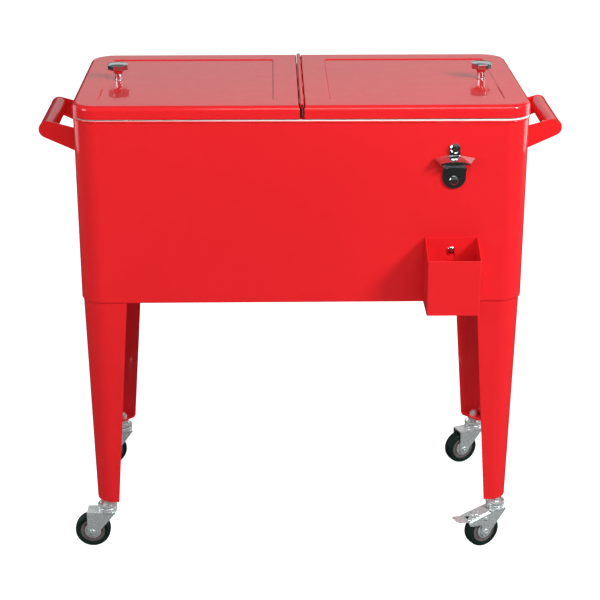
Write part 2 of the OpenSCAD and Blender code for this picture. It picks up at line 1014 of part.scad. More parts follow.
module hub(turn) {
    rotate([0, 0, turn])
    translate([-caster_trail, 0, axle_z])
    rotate([90, 0, 0])
    rotate_extrude($fn = 48)
        polygon([[axle_r + 0.05, -hub_half], [22.2, -hub_half], [22.2, hub_half],
            [axle_r + 0.05, hub_half]]);
}

module brake(turn) {
    side_in = 10.9;
    side_t = 1.5;
    pad_w = 18;
    rotate([0, 0, turn])
    difference() {
        union() {
            for (s = [-1, 1]) {
                translate([0, s > 0 ? side_in + side_t : -side_in, 0])
                    rotate([90, 0, 0])
                        linear_extrude(side_t)
                            polygon([[-18.5, 69.3], [-65, 60.4], [-65, 56], [-34, 52], [-22, 52]]);
                translate([pedal_pivot[0], 0, pedal_pivot[1]])
                    along_y(s > 0 ? side_in : -cheek_out - 1.4,
                        s > 0 ? cheek_out + 1.4 : -side_in, pedal_pin_r);
            }
            rotate([90, 0, 0])
                translate([0, 0, -side_in - side_t])
                    linear_extrude(2 * (side_in + side_t))
                        polygon([[-18.5, 67.5], [-18.5, 69.3], [-65, 60.4], [-68, 60], [-84, 62.4],
                            [-84, 60.6], [-68, 58.2], [-65, 58.6]]);
            translate([-45, -pad_w / 2, 60.3])
                cube([3.5, pad_w, 3]);
        }
        translate([-59, 0, 50])
            cylinder(h = 20, r = 6.5, $fn = 3);
    }
}

module fork_front_left() {
    color(zinc)
    at_caster(-1, -1)
        fork(turn_fl, false);
}

module axle_front_left() {
    color(zinc)
    at_caster(-1, -1)
        axle(turn_fl);
}

module tyre_front_left() {
    color(black)
    at_caster(-1, -1)
        tyre(turn_fl);
}

module hub_front_left() {
    color(grey)
    at_caster(-1, -1)
        hub(turn_fl);
}

module fork_front_right() {
    color(zinc)
    at_caster(1, -1)
        fork(turn_fr, true);
}

module axle_front_right() {
    color(zinc)
    at_caster(1, -1)
        axle(turn_fr);
}

module tyre_front_right() {
    color(black)
    at_caster(1, -1)
        tyre(turn_fr);
}

module hub_front_right() {
    color(grey)
    at_caster(1, -1)
        hub(turn_fr);
}

module brake_front_right() {
    color(zinc)
    at_caster(1, -1)
        brake(turn_fr);
}

module fork_rear_left() {
    color(zinc)
    at_caster(-1, 1)
        fork(turn_rl, false);
}

module axle_rear_left() {
    color(zinc)
    at_caster(-1, 1)
        axle(turn_rl);
}

module tyre_rear_left() {
    color(black)
    at_caster(-1, 1)
        tyre(turn_rl);
}

module hub_rear_left() {
    color(grey)
    at_caster(-1, 1)
        hub(turn_rl);
}

module fork_rear_right() {
    color(zinc)
    at_caster(1, 1)
        fork(turn_rr, false);
}

module axle_rear_right() {
    color(zinc)
    at_caster(1, 1)
        axle(turn_rr);
}

module tyre_rear_right() {
    color(black)
    at_caster(1, 1)
        tyre(turn_rr);
}

module hub_rear_right() {
    color(grey)
    at_caster(1, 1)
        hub(turn_rr);
}

outer_shell();
bottom_pan();
insulation_foam();
liner_tub();
hinge_crossbar();
crossbar_screws();
hinge_pin();
handle_left_arms();
handle_left_bar();
handle_right_arms();
handle_right_bar();
handle_screws();
leg_front_left();
leg_front_right();
leg_rear_left();
leg_rear_right();
leg_bolts();
bottle_opener();
opener_screws();
catcher_screw();
drain_fitting();
drain_nut();
caster_stems();
caster_raceways();
caster_nuts();
lid_left_skin();
lid_left_pan();
lid_left_foam();
lid_left_hinge();
knob_left();
knob_left_screw();
lid_right_skin();
lid_right_pan();
lid_right_foam();
lid_right_hinge();
knob_right();
knob_right_screw();
cap_catcher();
drain_cap();
fork_front_left();
axle_front_left();
tyre_front_left();
hub_front_left();
fork_front_right();
axle_front_right();
tyre_front_right();
hub_front_right();
brake_front_right();
fork_rear_left();
axle_rear_left();
tyre_rear_left();
hub_rear_left();
fork_rear_right();
axle_rear_right();
tyre_rear_right();
hub_rear_right();
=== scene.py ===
import math

import bmesh
import bpy
from mathutils import Matrix, Vector


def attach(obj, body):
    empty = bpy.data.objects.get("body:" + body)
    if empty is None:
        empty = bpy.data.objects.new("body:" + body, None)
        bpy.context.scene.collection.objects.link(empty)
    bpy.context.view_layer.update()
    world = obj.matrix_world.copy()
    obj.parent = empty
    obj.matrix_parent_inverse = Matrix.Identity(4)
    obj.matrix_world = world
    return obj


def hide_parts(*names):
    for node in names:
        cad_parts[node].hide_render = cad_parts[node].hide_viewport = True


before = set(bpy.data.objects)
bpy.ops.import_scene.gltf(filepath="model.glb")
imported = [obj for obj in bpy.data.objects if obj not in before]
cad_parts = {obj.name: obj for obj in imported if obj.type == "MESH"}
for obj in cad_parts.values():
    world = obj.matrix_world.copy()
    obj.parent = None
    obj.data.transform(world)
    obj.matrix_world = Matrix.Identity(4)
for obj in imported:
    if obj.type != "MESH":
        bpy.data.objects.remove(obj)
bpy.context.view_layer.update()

# Lengths are in millimetres in the chest's own frame, whose middle is CHEST_Y from the row's origin.
MM = 0.001
CHEST_Y = 30.95
RED, CHROME, ZINC, DARK = "red_paint", "chrome", "zinc", "dark_steel"
WHITE, FOAM, RUBBER, GREY = "white_plastic", "foam", "black_rubber", "grey_plastic"


def place(point):
    """A point of the chest's frame as a vector in the row frame."""
    return Vector((point[0], point[1] + CHEST_Y, point[2])) * MM


# ---------------------------------------------------------------- camera and light

AMBIENT, ROOM_LOW, ROOM_HIGH, FLOOR_GLOW = 0.2, 0.03, 0.17, 1.0
CAMERA = (-46.0, -2671.0, 1425.6)
YAW, PITCH, FOCAL_PX, IMAGE_PX, SENSOR = 0.0172, 0.367, 1600.0, 600.0, 36.0


def make_camera():
    data = bpy.data.cameras.new("camera")
    data.sensor_width = SENSOR
    data.lens = FOCAL_PX * SENSOR / IMAGE_PX
    data.clip_start, data.clip_end = 0.05, 50
    cam = bpy.data.objects.new("camera", data)
    cam.location = place(CAMERA)
    forward = Vector((math.sin(YAW) * math.cos(PITCH), math.cos(YAW) * math.cos(PITCH),
                      -math.sin(PITCH)))
    cam.rotation_mode = "QUATERNION"
    cam.rotation_quaternion = forward.to_track_quat("-Z", "Y")
    bpy.context.scene.collection.objects.link(cam)
    bpy.context.scene.camera = cam


def area_light(name, where, aim, size, watts):
    data = bpy.data.lights.new(name, "AREA")
    data.shape, data.size, data.size_y = "RECTANGLE", size[0], size[1]
    data.energy = watts
    lamp = bpy.data.objects.new(name, data)
    lamp.location = where
    lamp.rotation_mode = "QUATERNION"
    lamp.rotation_quaternion = (Vector(aim) - Vector(where)).to_track_quat("-Z", "Y")
    bpy.context.scene.collection.objects.link(lamp)


def make_world():
    """White past the object, soft ambient light, and a dim room above a dark one in reflections."""
    world = bpy.data.worlds.new("studio")
    world.use_nodes = True
    tree = world.node_tree

    def made(kind, **values):
        node = tree.nodes.new("ShaderNode" + kind)
        for key, value in values.items():
            node.inputs[key].default_value = value
        return node

    path = made("LightPath")
    split = made("SeparateXYZ")
    tree.links.new(made("TexCoord").outputs["Generated"], split.inputs[0])
    height = made("MapRange")
    for key, value in (("From Min", 0.0), ("From Max", 0.35), ("To Min", ROOM_LOW),
                       ("To Max", ROOM_HIGH)):
        height.inputs[key].default_value = value
    tree.links.new(split.outputs["Z"], height.inputs["Value"])
    soft = made("Mix")
    soft.inputs["B"].default_value = AMBIENT
    tree.links.new(path.outputs["Is Diffuse Ray"], soft.inputs["Factor"])
    tree.links.new(height.outputs["Result"], soft.inputs["A"])
    seen = made("Mix")
    seen.inputs["B"].default_value = 1.0
    tree.links.new(path.outputs["Is Camera Ray"], seen.inputs["Factor"])
    tree.links.new(soft.outputs["Result"], seen.inputs["A"])
    tree.links.new(seen.outputs["Result"], tree.nodes["Background"].inputs["Strength"])
    tree.nodes["Background"].inputs["Color"].default_value = (1, 1, 1, 1)
    bpy.context.scene.world = world


def make_light():
    make_world()
    area_light("front_top", (0.6, -2.0, 2.5), (0.1, 0, 0.75), (1.8, 0.9), 26)
    area_light("key", (2.1, -1.6, 2.05), (0.3, 0, 0.66), (0.7, 0.7), 66)
    area_light("fill", (-2.9, -1.7, 1.6), (0, 0, 0.7), (1.0, 1.4), 36)
    area_light("backdrop", (1.4, 4.2, 2.2), (0, 0, 0.8), (6.0, 2.0), 18)
    area_light("left_card", (-2.2, 0.9, 0.9), (0, 0, 0.6), (1.2, 1.6), 9)
    area_light("right_card", (2.2, 0.9, 0.9), (0, 0, 0.6), (1.2, 1.6), 17)


def make_floor():
    mesh = bpy.data.meshes.new("floor")
    mesh.from_pydata([(-9, -6, 0), (9, -6, 0), (9, 12, 0), (-9, 12, 0)], [], [(0, 1, 2, 3)])
    floor = bpy.data.objects.new("floor", mesh)
    bpy.context.scene.collection.objects.link(floor)
    floor.visible_glossy = False
    mat = bpy.data.materials.new("floor")
    mat.use_nodes = True
    shader = mat.node_tree.nodes["Principled BSDF"]
    shader.inputs["Base Color"].default_value = (0.5, 0.5, 0.5, 1)
    shader.inputs["Roughness"].default_value = 0.9
    shader.inputs["Specular IOR Level"].default_value = 0.1
    shader.inputs["Emission Color"].default_value = (1, 1, 1, 1)
    path = mat.node_tree.nodes.new("ShaderNodeLightPath")
    glow = mat.node_tree.nodes.new("ShaderNodeMath")
    glow.operation = "MULTIPLY"
    glow.inputs[1].default_value = FLOOR_GLOW
    mat.node_tree.links.new(path.outputs["Is Camera Ray"], glow.inputs[0])
    mat.node_tree.links.new(glow.outputs[0], shader.inputs["Emission Strength"])
    mesh.materials.append(mat)


make_camera()
make_light()
make_floor()

# ---------------------------------------------------------------- materials

RAMP_SPAN = (0.3, 0.7)


class Nodes:
    """A short way to add and join a material's nodes."""

    def __init__(self, name):
        self.mat = bpy.data.materials.new(name)
        self.mat.use_nodes = True
        self.tree = self.mat.node_tree
        self.shader = self.tree.nodes["Principled BSDF"]
        self.position = self.tree.nodes.new("ShaderNodeTexCoord").outputs["Object"]

    def set(self, **values):
        for key, value in values.items():
            self.shader.inputs[key.replace("_", " ")].default_value = value
        return self

    def node(self, kind, **values):
        made = self.tree.nodes.new("ShaderNode" + kind)
        for key, value in values.items():
            if key in made.inputs:
                made.inputs[key].default_value = value
            else:
                setattr(made, key, value)
        return made

    def link(self, a, b):
        self.tree.links.new(a, b)

    def noise(self, scale, detail=3.0, roughness=0.55):
        made = self.node("TexNoise", Scale=scale, Detail=detail, Roughness=roughness)
        self.link(self.position, made.inputs["Vector"])
        return made.outputs["Fac"]

    def cells(self, scale):
        made = self.node("TexVoronoi", Scale=scale)
        self.link(self.position, made.inputs["Vector"])
        return made.outputs["Distance"]

    def ramp(self, fac, low, high):
        made = self.node("ValToRGB")
        first, last = made.color_ramp.elements
        first.position, last.position = RAMP_SPAN
        first.color, last.color = low, high
        self.link(fac, made.inputs["Fac"])
        return made.outputs["Color"]

    def spread(self, fac, low, high):
        made = self.node("MapRange")
        made.inputs["To Min"].default_value, made.inputs["To Max"].default_value = low, high
        self.link(fac, made.inputs["Value"])
        return made.outputs["Result"]

    def bump(self, height, strength, distance):
        made = self.node("Bump", Strength=strength, Distance=distance)
        self.link(height, made.inputs["Height"])
        return made.outputs["Normal"]

    def drive(self, socket, output):
        self.link(output, self.shader.inputs[socket])


def paint_material():
    n = Nodes("gloss_red_paint").set(Coat_Weight=0.75, Coat_Roughness=0.04, Coat_IOR=1.5,
                                     Specular_IOR_Level=0.12)
    n.drive("Base Color", n.ramp(n.noise(2.2, 2.0), (0.79, 0.015, 0.020, 1), (0.84, 0.017, 0.022, 1)))
    n.drive("Roughness", n.spread(n.noise(45, 4.0), 0.3, 0.42))
    n.drive("Normal", n.bump(n.noise(420, 2.0), 0.012, 0.0004))
    return n.mat


def chrome_material():
    n = Nodes("polished_chrome").set(Metallic=1.0, Roughness=0.05)
    n.drive("Base Color", n.ramp(n.noise(30, 3), (0.62, 0.68, 0.69, 1), (0.74, 0.79, 0.80, 1)))
    n.drive("Roughness", n.spread(n.noise(160, 5, 0.7), 0.03, 0.13))
    n.drive("Normal", n.bump(n.noise(700, 2), 0.02, 0.0002))
    return n.mat


def zinc_material():
    n = Nodes("zinc_plate").set(Metallic=0.6)
    n.drive("Base Color", n.ramp(n.noise(24, 4, 0.6), (0.72, 0.78, 0.78, 1), (0.78, 0.84, 0.84, 1)))
    n.drive("Roughness", n.spread(n.cells(260.0), 0.22, 0.3))
    n.drive("Normal", n.bump(n.noise(500, 2), 0.02, 0.0002))
    return n.mat


def dark_steel_material():
    n = Nodes("blackened_steel").set(Metallic=1.0)
    n.drive("Base Color", n.ramp(n.noise(60, 4), (0.03, 0.03, 0.032, 1), (0.09, 0.09, 0.095, 1)))
    n.drive("Roughness", n.spread(n.noise(200, 3), 0.3, 0.5))
    return n.mat


def rubber_material():
    n = Nodes("black_rubber").set(Specular_IOR_Level=0.2)
    dust = n.noise(35, 6, 0.65)
    n.drive("Base Color", n.ramp(dust, (0.003, 0.013, 0.010, 1), (0.008, 0.024, 0.019, 1)))
    n.drive("Roughness", n.spread(n.noise(90, 4), 0.42, 0.62))
    n.drive("Normal", n.bump(n.noise(1300, 3), 0.15, 0.0003))
    return n.mat


def hub_plastic_material():
    n = Nodes("grey_brown_plastic").set(IOR=1.47)
    n.drive("Base Color", n.ramp(n.noise(50, 3), (0.105, 0.085, 0.082, 1), (0.15, 0.125, 0.12, 1)))
    n.drive("Roughness", n.spread(n.noise(300, 3), 0.4, 0.55))
    n.drive("Normal", n.bump(n.noise(1500, 2), 0.1, 0.0002))
    return n.mat


def white_plastic_material():
    n = Nodes("white_moulded_plastic").set(IOR=1.49, Subsurface_Weight=0.05)
    n.shader.inputs["Subsurface Radius"].default_value = (0.004, 0.003, 0.002)
    n.drive("Base Color", n.ramp(n.noise(6, 3), (0.80, 0.80, 0.775, 1), (0.88, 0.885, 0.87, 1)))
    n.drive("Roughness", n.spread(n.noise(60, 4), 0.28, 0.42))
    n.drive("Normal", n.bump(n.noise(1100, 3), 0.07, 0.0003))
    return n.mat


def foam_material():
    n = Nodes("yellow_foam").set(Roughness=0.95)
    n.drive("Base Color", n.ramp(n.noise(18, 4), (0.78, 0.66, 0.36, 1), (0.88, 0.78, 0.5, 1)))
    n.drive("Normal", n.bump(n.cells(700.0), 0.5, 0.0006))
    return n.mat


MATERIALS = {RED: paint_material(), CHROME: chrome_material(), ZINC: zinc_material(),
             DARK: dark_steel_material(), WHITE: white_plastic_material(),
             FOAM: foam_material(), RUBBER: rubber_material(), GREY: hub_plastic_material()}

# ---------------------------------------------------------------- mesh helpers


def arc(cx, cy, r, a0, a1, n):
    """n + 1 points on an arc, angles in degrees."""
    step = (a1 - a0) / n
    return [(cx + r * math.cos(math.radians(a0 + step * i)),
             cy + r * math.sin(math.radians(a0 + step * i))) for i in range(n + 1)]


def polygon(r, z, n, first=0.0):
    """The n corners of a level ring about Z, the first at an angle in degrees."""
    angles = [math.radians(first + 360 * i / n) for i in range(n)]
    return [(r * math.cos(a), r * math.sin(a), z) for a in angles]


def rounded_outline(x0, x1, y0, y1, radii, n=12):
    """A rectangle with its own radius at each corner, anticlockwise from the (x1, y0) corner."""
    r = [max(v, 0.01) for v in radii]
    return (arc(x1 - r[0], y0 + r[0], r[0], 270, 360, n) + arc(x1 - r[1], y1 - r[1], r[1], 0, 90, n)
            + arc(x0 + r[2], y1 - r[2], r[2], 90, 180, n)
            + arc(x0 + r[3], y0 + r[3], r[3], 180, 270, n))


class Shape:
    """Vertices in millimetres and faces, gathered before they become a piece."""

    def __init__(self):
        self.bm = bmesh.new()

    def verts(self, points):
        return [self.bm.verts.new(p) for p in points]

    def face(self, verts):
        self.bm.faces.new(verts)

    def loft(self, rings, closed=False):
        """Quads between rings of equally many points, with caps unless the last meets the first."""
        rows = [self.verts(ring) for ring in rings]
        pairs = list(zip(rows, rows[1:]))
        if closed:
            pairs.append((rows[-1], rows[0]))
        for a, b in pairs:
            for i in range(len(a)):
                j = (i + 1) % len(a)
                self.face((a[i], a[j], b[j], b[i]))
        if not closed:
            self.face(list(reversed(rows[0])))
            self.face(rows[-1])
        return self

    def prism(self, outline, low, high, axis="z"):
        """An outline pushed out along an axis: x uses (y, z), y uses (x, z), z uses (x, y)."""
        turn = {"x": lambda u, v, w: (w, u, v), "y": lambda u, v, w: (u, w, v),
                "z": lambda u, v, w: (u, v, w)}[axis]
        return self.loft([[turn(u, v, w) for u, v in outline] for w in (low, high)])

    def lathe(self, profile, n=48, closed=False):
        """A profile of (radius, height) turned about Z. Ends on the axis close themselves."""
        rows = []
        for r, z in profile:
            rows.append(self.verts([(0, 0, z)] if r < 1e-6 else polygon(r, z, n)))
        pairs = list(zip(rows, rows[1:]))
        if closed:
            pairs.append((rows[-1], rows[0]))
        for a, b in pairs:
            for i in range(n):
                j = (i + 1) % n
                if len(a) == 1:
                    self.face((a[0], b[j], b[i]))
                elif len(b) == 1:
                    self.face((a[i], a[j], b[0]))
                else:
                    self.face((a[i], a[j], b[j], b[i]))
        return self

    def box(self, low, high):
        outline = [(low[0], low[1]), (high[0], low[1]), (high[0], high[1]), (low[0], high[1])]
        return self.prism(outline, low[2], high[2])

    def add(self, other, matrix=Matrix.Identity(4)):
        """Copies another shape's faces in, moved by the matrix."""
        flip = matrix.determinant() < 0
        new = {v: self.bm.verts.new(matrix @ v.co) for v in other.bm.verts}
        for f in other.bm.faces:
            corners = [new[v] for v in f.verts]
            self.face(list(reversed(corners)) if flip else corners)
        return self

    def cut(self, tool):
        """Takes another closed shape away, with Blender's exact boolean."""
        return self._boolean(tool, "DIFFERENCE")

    def fuse(self, tool):
        return self._boolean(tool, "UNION")

    def _boolean(self, tool, operation):
        made = []
        for shape, name in ((self, "whole"), (tool, "tool")):
            bmesh.ops.recalc_face_normals(shape.bm, faces=shape.bm.faces)
            mesh = bpy.data.meshes.new(name)
            shape.bm.to_mesh(mesh)
            obj = bpy.data.objects.new(name, mesh)
            bpy.context.scene.collection.objects.link(obj)
            made.append(obj)
        whole, cutter = made
        mod = whole.modifiers.new("boolean", "BOOLEAN")
        mod.operation, mod.solver, mod.object = operation, "EXACT", cutter
        graph = bpy.context.evaluated_depsgraph_get()
        result = bpy.data.meshes.new_from_object(whole.evaluated_get(graph))
        self.bm.clear()
        self.bm.from_mesh(result)
        for obj in made:
            mesh = obj.data
            bpy.data.objects.remove(obj)
            bpy.data.meshes.remove(mesh)
        bpy.data.meshes.remove(result)
        return self


def finish_mesh(shape, name, material, bevel, sharp, segments):
    """Places the shape in the row frame as a smooth object with sharp edges kept."""
    bm = shape.bm
    bmesh.ops.remove_doubles(bm, verts=bm.verts, dist=1e-4)
    bmesh.ops.dissolve_degenerate(bm, edges=bm.edges, dist=1e-4)
    bmesh.ops.recalc_face_normals(bm, faces=bm.faces)
    for v in bm.verts:
        v.co = place(v.co)
    mesh = bpy.data.meshes.new(name)
    bm.to_mesh(mesh)
    bm.free()
    mesh.materials.append(material)
    for face in mesh.polygons:
        face.use_smooth = True
    mesh.set_sharp_from_angle(angle=math.radians(sharp))
    obj = bpy.data.objects.new(name, mesh)
    bpy.context.scene.collection.objects.link(obj)
    if bevel:
        mod = obj.modifiers.new("edges", "BEVEL")
        mod.width, mod.segments, mod.limit_method = bevel * MM, segments, "ANGLE"
        mod.angle_limit, mod.harden_normals = math.radians(sharp), True
        mod.use_clamp_overlap = True
    mod = obj.modifiers.new("normals", "WEIGHTED_NORMAL")
    mod.keep_sharp = True
    return obj


def piece(shape, name, body, nodes, slot, bevel=0.0, sharp=32, segments=2):
    """Makes a shape into a piece of the object: it rides on a body and stands for CAD nodes."""
    obj = finish_mesh(shape, name, MATERIALS[slot], bevel, sharp, segments)
    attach(obj, body)
    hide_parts(*([nodes] if isinstance(nodes, str) else nodes))
    return obj


def turned(degrees):
    return Matrix.Rotation(math.radians(degrees), 4, "Z")


MIRROR_X = Matrix.Scale(-1, 4, (1, 0, 0))
MIRROR_Y = Matrix.Scale(-1, 4, (0, 1, 0))

# ---------------------------------------------------------------- lids

HALF_LEN, HALF_DEPTH, LID_TOP, LID_LOW = 370.0, 193.0, 802.0, 781.0
LID_CORNER, LID_ROLL, LID_FOLD, LID_NEAR = 42.0, 8.0, 3.0, 3.5
NEAR_CORNER = 1.0
SHEET = 1.2
PANEL = (46.2, 328.2, 149.0)
PANEL_CORNER, PANEL_DEPTH = 8.0, 1.5


def lid_ring(inset, near, z):
    corner = LID_CORNER - inset
    outline = rounded_outline(LID_NEAR + near, HALF_LEN - inset, inset - HALF_DEPTH,
                              HALF_DEPTH - inset, (corner, corner, NEAR_CORNER, NEAR_CORNER))
    return [(x, y, z) for x, y in outline]


def panel_ring(grow, z):
    x0, x1, hy = PANEL
    r = PANEL_CORNER + grow
    outline = rounded_outline(x0 - grow, x1 + grow, -hy - grow, hy + grow, (r,) * 4)
    return [(x, y, z) for x, y in outline]


def lid_rings(inset):
    """One surface of the lid, from its lower edge to the pressed panel, moved in by inset."""
    roll, fold, top = LID_ROLL - inset, LID_FOLD - inset, LID_TOP - inset
    low = LID_LOW + 0.4
    rings = [lid_ring(inset, inset, low)]
    for a in range(0, 91, 9):
        c, s = 1 - math.cos(math.radians(a)), math.sin(math.radians(a))
        rings.append(lid_ring(inset + roll * c, inset + fold * c, top - roll * (1 - s)))
    for grow, drop in ((1.8, 0.0), (1.2, 0.12), (0.6, 0.45), (0.0, 1.05), (-0.6, 1.38),
                       (-1.2, PANEL_DEPTH)):
        rings.append(panel_ring(grow, top - drop))
    return rings


def lid_skin():
    outer = lid_rings(0.0)
    inner = lid_rings(SHEET)
    hem = [lid_ring(0.9, 0.9, LID_LOW), lid_ring(0.3, 0.3, LID_LOW)]
    return Shape().loft(list(reversed(inner)) + hem + outer)


def lid_pan():
    """The white lining under a lid: a flange in the skirt and a hollow plug into the tub."""
    low, flange_z, wall = 774.0, 782.0, 2.5
    plug = (40.0, 340.0, 149.0)

    def flange(inset, z):
        return lid_ring(1.5 + inset, 1.5 + inset, z)

    def ring(shrink, z):
        x0, x1, hy = plug
        r = max(18 - shrink, 3)
        outline = rounded_outline(x0 + shrink, x1 - shrink, shrink - hy, hy - shrink,
                                  (r,) * 4)
        return [(x, y, z) for x, y in outline]

    under = [ring(14, low + 1.2), ring(11, low + 1.1), ring(9, low), ring(3, low),
             ring(1.2, low + 0.5), ring(0.3, low + 1.6), ring(0, low + 3), ring(-0.4, flange_z - 1.2),
             ring(-1.4, flange_z), flange(0.5, flange_z), flange(0, flange_z + 0.5)]
    over = [flange(0, flange_z + wall - 0.3), flange(0.3, flange_z + wall),
            ring(wall - 1, flange_z + wall), ring(wall, flange_z + wall - 1), ring(wall, low + wall)]
    return Shape().loft(under + over)


SEGMENTS, BARREL_LEN, BARREL_R, PIN_R, HINGE_Z = 13, 376.0, 3.2, 1.6, 801.3
ALONG_Y = Matrix.Rotation(math.radians(-90), 4, "X")


def lid_leaves(first):
    """Barrel segments of one lid's hinge, each with a leaf that runs down inside the fold."""
    shape = Shape()
    for i in range(first, SEGMENTS, 3):
        y0, y1 = segment_span(i)
        shape.add(barrel(y0, y1))
        shape.box((0.9, y0 + 0.3, HINGE_Z - 3.4), (4.8, y1 - 0.3, HINGE_Z - 2.5))
        shape.box((4.75, y0 + 0.3, 785.2), (5.6, y1 - 0.3, HINGE_Z - 2.5))
    return shape


def segment_span(i):
    length = BARREL_LEN / SEGMENTS
    return -BARREL_LEN / 2 + i * length + 0.2, -BARREL_LEN / 2 + (i + 1) * length - 0.2


def barrel(y0, y1):
    """A hollow barrel segment with eased ends, from y0 to y1 on the hinge line."""
    r, e = BARREL_R, 0.35
    profile = [(PIN_R + 0.06, y0), (r - e, y0), (r, y0 + e), (r, y1 - e), (r - e, y1),
               (PIN_R + 0.06, y1)]
    along = Shape().lathe(profile, 28, closed=True)
    return Shape().add(along, Matrix.Translation((0, 0, HINGE_Z)) @ ALONG_Y)


def crossbar():
    shape = Shape()
    for i in range(0, SEGMENTS, 3):
        y0, y1 = segment_span(i)
        shape.add(barrel(y0, y1))
        shape.box((-1, y0, HINGE_Z - BARREL_R - 1.2), (1, y1, HINGE_Z - BARREL_R + 0.6))
    shape.box((-1, -165, 779), (1, 187.8, HINGE_Z - BARREL_R - 0.5))
    flange = rounded_outline(-22, 22, -186, 186, (3, 3, 3, 3), 4)
    shape.prism(flange, 778.4, 779.9)
    return shape


def hinge_pin():
    half = BARREL_LEN / 2 + 2.5
    profile = [(0, -half), (PIN_R - 0.4, -half), (PIN_R, -half + 0.4), (PIN_R, half - 0.4),
               (PIN_R - 0.4, half), (0, half)]
    return Shape().add(Shape().lathe(profile, 20), Matrix.Translation((0, 0, HINGE_Z)) @ ALONG_Y)


# ---------------------------------------------------------------- knobs and screws

KNOB_X = 307.5


def knob():
    """A round foot and a flared neck under an eight-sided head with a slightly domed top."""
    shape = Shape()
    base, head_low, top = 800.55, 819.0, 830.0
    neck = [(0, base), (7.2, base), (7.4, base + 0.5), (7.2, base + 1.0), (6.5, base + 1.5),
            (6.5, 810.5), (7.2, 813.5), (8.6, 816.4), (10.4, 818.6), (10.4, 819.3), (0, 819.3)]
    shape.lathe(neck, 40)
    flats = 17.0 / math.cos(math.radians(22.5))

    def ring(r, z):
        return polygon(r, z, 8, 22.5)

    shape.loft([ring(flats - 1.0, head_low), ring(flats, head_low + 1.0), ring(flats, top - 2.6),
                ring(flats - 1.0, top - 1.9), ring(flats * 0.7, top - 0.9),
                ring(flats * 0.35, top - 0.2), ring(1, top)])
    return Shape().add(shape, Matrix.Translation((KNOB_X, 0, 0)))


def cross_screw(radius, height, shank, length):
    """A domed pan head along +Z with a cross recess, and a shank below."""
    dome = [(0, height)] + [(radius * math.sin(math.radians(a)) * 0.97,
                             height * (0.28 + 0.72 * math.cos(math.radians(a))))
                            for a in range(12, 91, 13)]
    profile = dome + [(radius, height * 0.14), (radius * 0.97, 0), (shank, 0), (shank, -length),
                      (0, -length)]
    shape = Shape().lathe(list(reversed(profile)), 36)
    arm, width, deep = radius * 0.56, radius * 0.13, height * 0.45
    slot = Shape().box((-arm, -width, height - deep), (arm, width, height + 1))
    shape.cut(slot)
    slot = Shape().box((-width, -arm, height - deep), (width, arm, height + 1))
    shape.cut(slot)
    return shape


def hex_nut(flats, low, high, bore=0.0, chamfer=0.6):
    """A hexagon nut, bolt head or collar with both ends eased."""
    r = flats / 2 / math.cos(math.radians(30))
    step = [(r - chamfer, low), (r, low + chamfer * 0.6), (r, high - chamfer * 0.6),
            (r - chamfer, high)]
    rings = [polygon(q, z, 6) for q, z in step]
    if not bore:
        return Shape().loft(rings)
    inner = [polygon(bore, z, 6) for z in (high, low)]
    return Shape().loft(rings + inner, closed=True)


TO_FRONT = Matrix.Rotation(math.radians(90), 4, "X")
TO_RIGHT = Matrix.Rotation(math.radians(90), 4, "Y")
TO_LEFT = Matrix.Rotation(math.radians(-90), 4, "Y")

# ---------------------------------------------------------------- chest

WALL_X, WALL_Y, WALL_R = 368.5, 191.5, 40.5
# of the constants below, the rim height is how far the white lining's rim stands over the wall's top in
# the middle, and the tilt is how much the wall's top falls per mm towards +X; the rim's pale line is a
# painted highlight on the bead, wider and so brighter towards +X
SHELL_LOW, SHELL_TOP, BEAD_HIGHLIGHT_RIM, BEAD_HIGHLIGHT_TILT = 468.0, 777.7, 1.5, 0.0028


def wall_ring(inset, z):
    r = WALL_R - inset
    outline = rounded_outline(inset - WALL_X, WALL_X - inset, inset - WALL_Y, WALL_Y - inset,
                              (r,) * 4, 16)
    return [(x, y, z) for x, y in outline]


def shell():
    """The painted box: a flange underneath, plain walls and a beaded top edge that falls to +X, so that
    more of the lining's white rim, a painted highlight on the bead, shows towards +X.
    """
    steps = [(32, SHELL_LOW + SHEET), (32, SHELL_LOW), (1.8, SHELL_LOW)]
    steps += [(1.8 * (1 - math.sin(math.radians(a))), SHELL_LOW + 1.8 * (1 - math.cos(math.radians(a))))
              for a in (25, 50, 75, 90)]
    bead_z, bead_r = SHELL_TOP - 1.5, 1.5
    steps += [(0, bead_z - 2.0), (-0.25, bead_z - 1.5)]
    steps += [(-bead_r * math.cos(math.radians(a)), bead_z + bead_r * math.sin(math.radians(a)))
              for a in range(-60, 91, 15)]
    steps += [(SHEET, SHELL_TOP), (SHEET, SHELL_LOW + SHEET)]
    tilted_from = bead_z - 3
    rings = []
    for inset, z in steps:
        # the top falls towards +X so the white rim, a painted highlight on the bead, shows wider there
        tilt = BEAD_HIGHLIGHT_TILT if z > tilted_from else 0.0
        rings.append([(x, y, h - tilt * x) for x, y, h in wall_ring(inset, z)])
    return Shape().loft(rings, closed=True)


